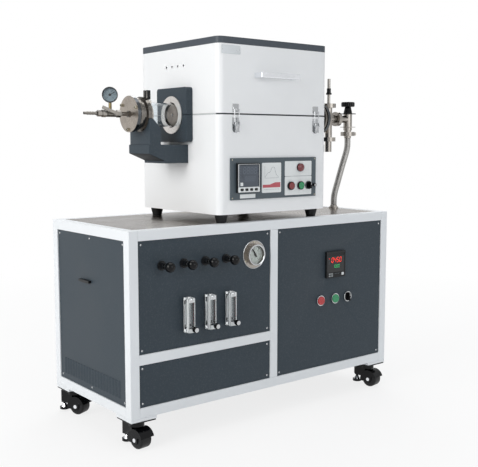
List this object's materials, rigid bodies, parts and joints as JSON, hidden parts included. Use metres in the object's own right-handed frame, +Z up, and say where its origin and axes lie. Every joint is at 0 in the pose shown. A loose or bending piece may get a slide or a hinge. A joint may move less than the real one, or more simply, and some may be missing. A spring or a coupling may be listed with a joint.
{
  "type": "tube furnace",
  "caption": "Split tube furnace with a lift-up lid, on a wheeled cart with gas flow controls, a vacuum pump, flanged process tube, gas inlet and vacuum valve.",
  "frame": {"origin": "on the floor, under the middle of the whole part's box", "axes": "+X to the right along the process tube, seen from the front; +Y to the back; +Z up"},
  "size_m": [1.2123, 0.5776, 1.28],
  "materials": {
    "acrylic": "clear",
    "black_plastic": "gloss",
    "cap_slate": "satin",
    "caster_black": "satin",
    "chrome": "polished",
    "fibre_white": "matt",
    "frame_white": "gloss",
    "green_plastic": "gloss",
    "knob_grey": "gloss",
    "machine_grey": "satin",
    "panel_grey": "satin",
    "panel_slate": "satin",
    "quartz": "clear",
    "red_plastic": "gloss",
    "rubber_black": "matt",
    "shell_grey": "gloss",
    "shell_white": "gloss",
    "stainless": "brushed"
  },
  "bodies": {
    "cart": {"cart_frame": "frame_white", "caster_plates": "caster_black", "cart_top": "stainless", "front_panels": "panel_slate", "outer_panels": "panel_slate", "flowmeter_bodies": "acrylic", "gas_valves": "chrome", "gauges": "chrome", "panel_instruments": "black_plastic", "switch_bezels": "chrome", "furnace_case": "shell_white", "furnace_feet": "rubber_black", "lower_heating_module": "fibre_white", "lower_port_plates": "panel_slate", "control_panel": "panel_grey", "process_tube": "quartz", "tube_flanges": "stainless", "flange_brackets": "panel_slate", "inlet_fitting": "stainless", "vacuum_manifold": "stainless", "angle_valve": "stainless", "bellows_hose": "stainless", "vacuum_pump": "machine_grey", "case_hardware": "chrome", "power_unit": "machine_grey"},
    "lid": {"lid_shell": "shell_grey", "lid_cap": "cap_slate", "upper_heating_module": "fibre_white", "upper_port_plates": "panel_slate", "lid_handle": "frame_white", "lid_hardware": "chrome"},
    "latch_lever_1": {"latch_lever_1": "chrome"},
    "latch_lever_2": {"latch_lever_2": "chrome"},
    "latch_bail_1": {"latch_bail_1": "chrome"},
    "latch_bail_2": {"latch_bail_2": "chrome"},
    "gas_knob_1": {"gas_knob_1": "knob_grey"},
    "gas_knob_2": {"gas_knob_2": "knob_grey"},
    "gas_knob_3": {"gas_knob_3": "knob_grey"},
    "gas_knob_4": {"gas_knob_4": "knob_grey"},
    "flow_knob_1": {"flow_knob_1": "black_plastic"},
    "flow_knob_2": {"flow_knob_2": "black_plastic"},
    "flow_knob_3": {"flow_knob_3": "black_plastic"},
    "cart_stop_button": {"cart_stop_button": "red_plastic"},
    "cart_start_button": {"cart_start_button": "green_plastic"},
    "furnace_stop_button": {"furnace_stop_button": "red_plastic"},
    "furnace_start_button": {"furnace_start_button": "green_plastic"},
    "cart_selector": {"cart_selector": "black_plastic"},
    "furnace_key_switch": {"furnace_key_switch": "black_plastic"},
    "valve_handwheel": {"valve_handwheel": "black_plastic"},
    "inlet_valve_handle": {"inlet_valve_handle": "black_plastic"},
    "gauge_needle": {"gauge_needle": "black_plastic"},
    "caster_fork_1": {"caster_fork_1": "caster_black"},
    "caster_fork_2": {"caster_fork_2": "caster_black"},
    "caster_fork_3": {"caster_fork_3": "caster_black"},
    "caster_fork_4": {"caster_fork_4": "caster_black"},
    "caster_wheel_1": {"caster_wheel_1": "rubber_black"},
    "caster_wheel_2": {"caster_wheel_2": "rubber_black"},
    "caster_wheel_3": {"caster_wheel_3": "rubber_black"},
    "caster_wheel_4": {"caster_wheel_4": "rubber_black"},
    "side_latch": {"side_latch": "knob_grey"}
  },
  "joints": [
    {"name": "lid_hinge", "type": "hinge", "parent": "cart", "child": "lid", "pos_m": [-0.01338, 0.23946, 1.037], "axis": [-1, 0, 0], "range_deg": [0, 80]},
    {"name": "latch_lever_1_turn", "type": "hinge", "parent": "cart", "child": "latch_lever_1", "pos_m": [-0.18488, -0.23234, 1.008], "axis": [-1, 0, 0], "range_deg": [0, 100]},
    {"name": "latch_bail_1_turn", "type": "hinge", "parent": "latch_lever_1", "child": "latch_bail_1", "pos_m": [-0.18488, -0.23885, 1], "axis": [-1, 0, 0], "range_deg": [-100, 0]},
    {"name": "latch_lever_2_turn", "type": "hinge", "parent": "cart", "child": "latch_lever_2", "pos_m": [0.16912, -0.23234, 1.008], "axis": [-1, 0, 0], "range_deg": [0, 100]},
    {"name": "latch_bail_2_turn", "type": "hinge", "parent": "latch_lever_2", "child": "latch_bail_2", "pos_m": [0.16912, -0.23885, 1], "axis": [-1, 0, 0], "range_deg": [-100, 0]},
    {"name": "gas_valve_1_turn", "type": "hinge", "parent": "cart", "child": "gas_knob_1", "pos_m": [-0.47188, -0.27285, 0.57], "axis": [0, -1, 0], "range_deg": [0, 720]},
    {"name": "gas_valve_2_turn", "type": "hinge", "parent": "cart", "child": "gas_knob_2", "pos_m": [-0.38888, -0.27285, 0.57], "axis": [0, -1, 0], "range_deg": [0, 720]},
    {"name": "gas_valve_3_turn", "type": "hinge", "parent": "cart", "child": "gas_knob_3", "pos_m": [-0.30588, -0.27285, 0.57], "axis": [0, -1, 0], "range_deg": [0, 720]},
    {"name": "gas_valve_4_turn", "type": "hinge", "parent": "cart", "child": "gas_knob_4", "pos_m": [-0.22288, -0.27285, 0.57], "axis": [0, -1, 0], "range_deg": [0, 720]},
    {"name": "flow_valve_1_turn", "type": "hinge", "parent": "cart", "child": "flow_knob_1", "pos_m": [-0.38188, -0.27685, 0.365], "axis": [0, -1, 0], "range_deg": [0, 720]},
    {"name": "flow_valve_2_turn", "type": "hinge", "parent": "cart", "child": "flow_knob_2", "pos_m": [-0.29888, -0.27685, 0.365], "axis": [0, -1, 0], "range_deg": [0, 720]},
    {"name": "flow_valve_3_turn", "type": "hinge", "parent": "cart", "child": "flow_knob_3", "pos_m": [-0.21588, -0.27685, 0.365], "axis": [0, -1, 0], "range_deg": [0, 720]},
    {"name": "cart_stop_press", "type": "slide", "parent": "cart", "child": "cart_stop_button", "axis": [0, 1, 0], "range_m": [0, 0.003], "stiffness_N_per_m": 400},
    {"name": "cart_start_press", "type": "slide", "parent": "cart", "child": "cart_start_button", "axis": [0, 1, 0], "range_m": [0, 0.003], "stiffness_N_per_m": 400},
    {"name": "furnace_stop_press", "type": "slide", "parent": "cart", "child": "furnace_stop_button", "axis": [0, 1, 0], "range_m": [0, 0.003], "stiffness_N_per_m": 400},
    {"name": "furnace_start_press", "type": "slide", "parent": "cart", "child": "furnace_start_button", "axis": [0, 1, 0], "range_m": [0, 0.003], "stiffness_N_per_m": 400},
    {"name": "cart_selector_turn", "type": "hinge", "parent": "cart", "child": "cart_selector", "pos_m": [0.34512, -0.22784, 0.378], "axis": [0, -1, 0], "range_deg": [-45, 45]},
    {"name": "furnace_key_turn", "type": "hinge", "parent": "cart", "child": "furnace_key_switch", "pos_m": [0.13312, -0.23785, 0.798], "axis": [0, -1, 0], "range_deg": [-90, 0]},
    {"name": "angle_valve_turn", "type": "hinge", "parent": "cart", "child": "valve_handwheel", "pos_m": [0.57112, 0.00265, 1.095], "axis": [0, 0, 1], "range_deg": [0, 720]},
    {"name": "inlet_valve_turn", "type": "hinge", "parent": "cart", "child": "inlet_valve_handle", "pos_m": [-0.50088, -0.02235, 1.037], "axis": [0, 1, 0], "range_deg": [-20, 70]},
    {"name": "panel_gauge_needle", "type": "hinge", "parent": "cart", "child": "gauge_needle", "pos_m": [-0.10388, -0.23234, 0.573], "axis": [0, 1, 0], "range_deg": [-100, 170]},
    {"name": "caster_1_swivel", "type": "hinge", "parent": "cart", "child": "caster_fork_1", "pos_m": [-0.54288, -0.18185, 0.08], "axis": [0, 0, 1], "continuous": true},
    {"name": "caster_1_roll", "type": "hinge", "parent": "caster_fork_1", "child": "caster_wheel_1", "pos_m": [-0.5401, -0.20165, 0.03], "axis": [0.9903, 0.1392, 0], "continuous": true},
    {"name": "caster_2_swivel", "type": "hinge", "parent": "cart", "child": "caster_fork_2", "pos_m": [0.50912, -0.18185, 0.08], "axis": [0, 0, 1], "continuous": true},
    {"name": "caster_2_roll", "type": "hinge", "parent": "caster_fork_2", "child": "caster_wheel_2", "pos_m": [0.51259, -0.20154, 0.03], "axis": [0.9848, 0.1736, 0], "continuous": true},
    {"name": "caster_3_swivel", "type": "hinge", "parent": "cart", "child": "caster_fork_3", "pos_m": [-0.54288, 0.23015, 0.08], "axis": [0, 0, 1], "continuous": true},
    {"name": "caster_3_roll", "type": "hinge", "parent": "caster_fork_3", "child": "caster_wheel_3", "pos_m": [-0.53443, 0.21203, 0.03], "axis": [0.9063, 0.4226, 0], "continuous": true},
    {"name": "caster_4_swivel", "type": "hinge", "parent": "cart", "child": "caster_fork_4", "pos_m": [0.50912, 0.23015, 0.08], "axis": [0, 0, 1], "continuous": true},
    {"name": "caster_4_roll", "type": "hinge", "parent": "caster_fork_4", "child": "caster_wheel_4", "pos_m": [0.51912, 0.21283, 0.03], "axis": [0.866, 0.5, 0], "continuous": true},
    {"name": "side_latch_turn", "type": "hinge", "parent": "cart", "child": "side_latch", "pos_m": [-0.58488, 0.05015, 0.498], "axis": [1, 0, 0], "range_deg": [0, 90]}
  ],
  "couplings": [
    {"joint": "latch_bail_1_turn", "follows": "latch_lever_1_turn", "ratio": -1},
    {"joint": "latch_bail_2_turn", "follows": "latch_lever_2_turn", "ratio": -1}
  ]
}
